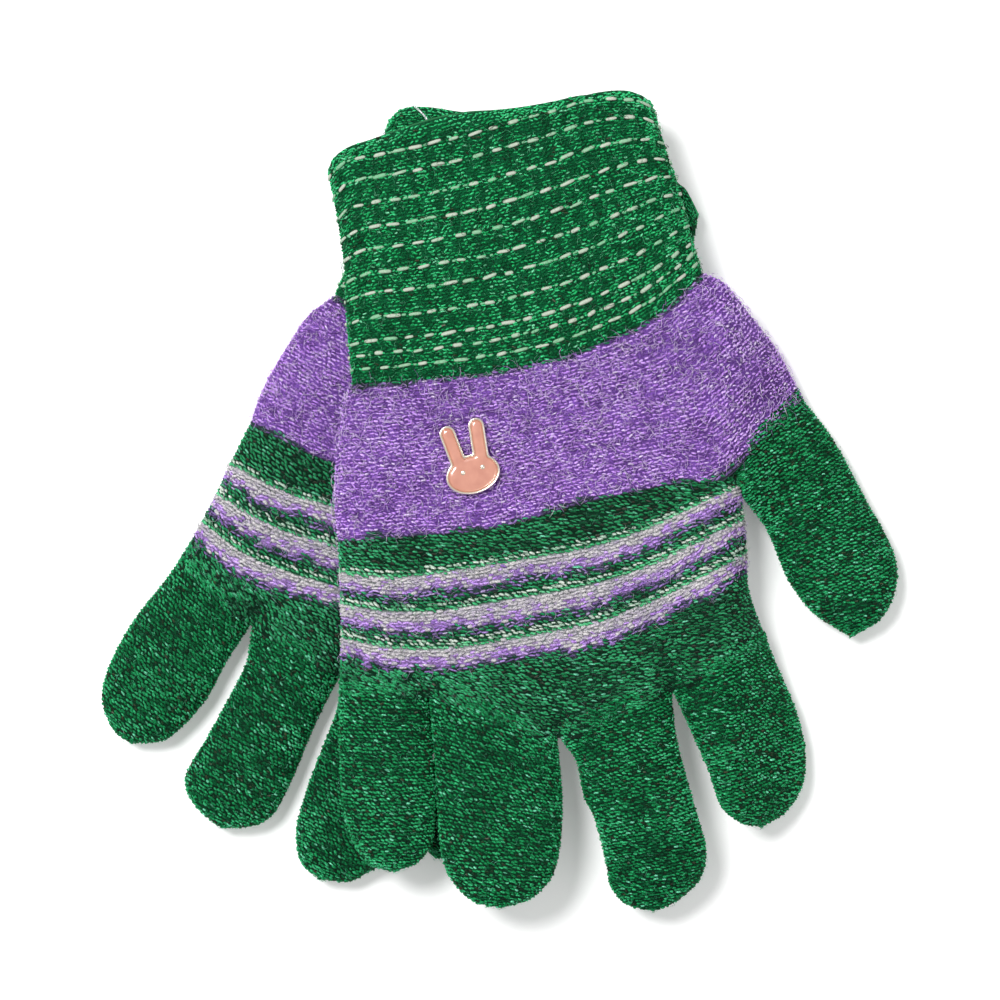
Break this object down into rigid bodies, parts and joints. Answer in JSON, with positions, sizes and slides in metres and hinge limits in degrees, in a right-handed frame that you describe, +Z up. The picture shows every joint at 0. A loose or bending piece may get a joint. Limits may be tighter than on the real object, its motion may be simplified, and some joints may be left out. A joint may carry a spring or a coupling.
{
  "type": "pair of knitted gloves",
  "caption": "Pair of child's stretch-knit gloves lying crossed and flat, with elasticated cuffs, colour bands, hollow fingers and an enamel badge, joined by a tack at the cuffs.",
  "frame": {"origin": "middle of the pair's footprint on the surface that it lies on", "axes": "+Z up from the surface, +Y from the fingertips towards the cuffs, +X towards the upper glove's thumb"},
  "size_m": [0.159, 0.1627, 0.0221],
  "materials": {
    "green_knit": "ribbed stretch knit of bright green yarn plaited over a black ground yarn, matt",
    "purple_knit": "mottled lavender and violet feather-yarn knit, matt and fuzzy",
    "striped_knit": "rows of dark green, white and lavender yarn, matt",
    "elastic_thread": "white covered elastic thread, matt",
    "badge_metal": "pale gold plating, polished",
    "badge_enamel": "salmon pink enamel, glossy",
    "tack_nylon": "clear nylon monofilament, glossy"
  },
  "bodies": {
    "under_hand": {"under_cuff": "green_knit", "under_cuff_elastic": "elastic_thread", "under_purple_band": "purple_knit", "under_striped_band": "striped_knit", "under_thumb": "green_knit", "under_index": "green_knit", "under_middle": "green_knit", "under_badge_plate": "badge_metal", "under_badge_enamel": "badge_enamel", "under_badge_eyes": "badge_metal", "under_badge_prongs": "badge_metal", "tack_filament": "tack_nylon"},
    "top_cuff": {"top_cuff": "green_knit", "top_cuff_elastic": "elastic_thread", "tack_end": "tack_nylon"},
    "top_hand": {"top_purple_band": "purple_knit", "top_striped_band": "striped_knit", "top_badge_plate": "badge_metal", "top_badge_enamel": "badge_enamel", "top_badge_eyes": "badge_metal", "top_badge_prongs": "badge_metal"},
    "under_ring": {"under_ring": "green_knit"},
    "under_little": {"under_little": "green_knit"},
    "top_thumb": {"top_thumb": "green_knit"},
    "top_index": {"top_index": "green_knit"},
    "top_middle": {"top_middle": "green_knit"},
    "top_ring": {"top_ring": "green_knit"},
    "top_little": {"top_little": "green_knit"}
  },
  "joints": [
    {"name": "pair_open", "type": "hinge", "parent": "under_hand", "child": "top_cuff", "pos_m": [-0.00245, 0.07931, 0.0103], "axis": [-0.9816, -0.1909, 0], "range_deg": [0, 90]},
    {"name": "top_wrist_fold", "type": "hinge", "parent": "top_cuff", "child": "top_hand", "pos_m": [0.0077, 0.0277, 0.0206], "axis": [-0.9506, -0.3104, 0], "range_deg": [0, 80]},
    {"name": "top_thumb_fold", "type": "hinge", "parent": "top_hand", "child": "top_thumb", "pos_m": [0.0571, 0.0075, 0.0206], "axis": [-0.866, -0.5, 0], "range_deg": [0, 75]},
    {"name": "top_index_fold", "type": "hinge", "parent": "top_hand", "child": "top_index", "pos_m": [0.0447, -0.0357, 0.0206], "axis": [-0.9668, -0.2555, 0], "range_deg": [0, 75]},
    {"name": "top_middle_fold", "type": "hinge", "parent": "top_hand", "child": "top_middle", "pos_m": [0.0228, -0.0455, 0.0206], "axis": [-0.9826, -0.1857, 0], "range_deg": [0, 75]},
    {"name": "top_ring_fold", "type": "hinge", "parent": "top_hand", "child": "top_ring", "pos_m": [-0.0013, -0.0477, 0.0206], "axis": [-1, 0, 0], "range_deg": [0, 75]},
    {"name": "top_little_fold", "type": "hinge", "parent": "top_hand", "child": "top_little", "pos_m": [-0.0233, -0.0385, 0.0206], "axis": [-1, 0, 0], "range_deg": [0, 75]},
    {"name": "under_ring_fold", "type": "hinge", "parent": "under_hand", "child": "under_ring", "pos_m": [-0.04259, -0.03169, 0.01], "axis": [-0.9063, 0.4226, 0], "range_deg": [0, 75]},
    {"name": "under_little_fold", "type": "hinge", "parent": "under_hand", "child": "under_little", "pos_m": [-0.05964, -0.01995, 0.01], "axis": [-0.8746, 0.4848, 0], "range_deg": [0, 75]}
  ]
}
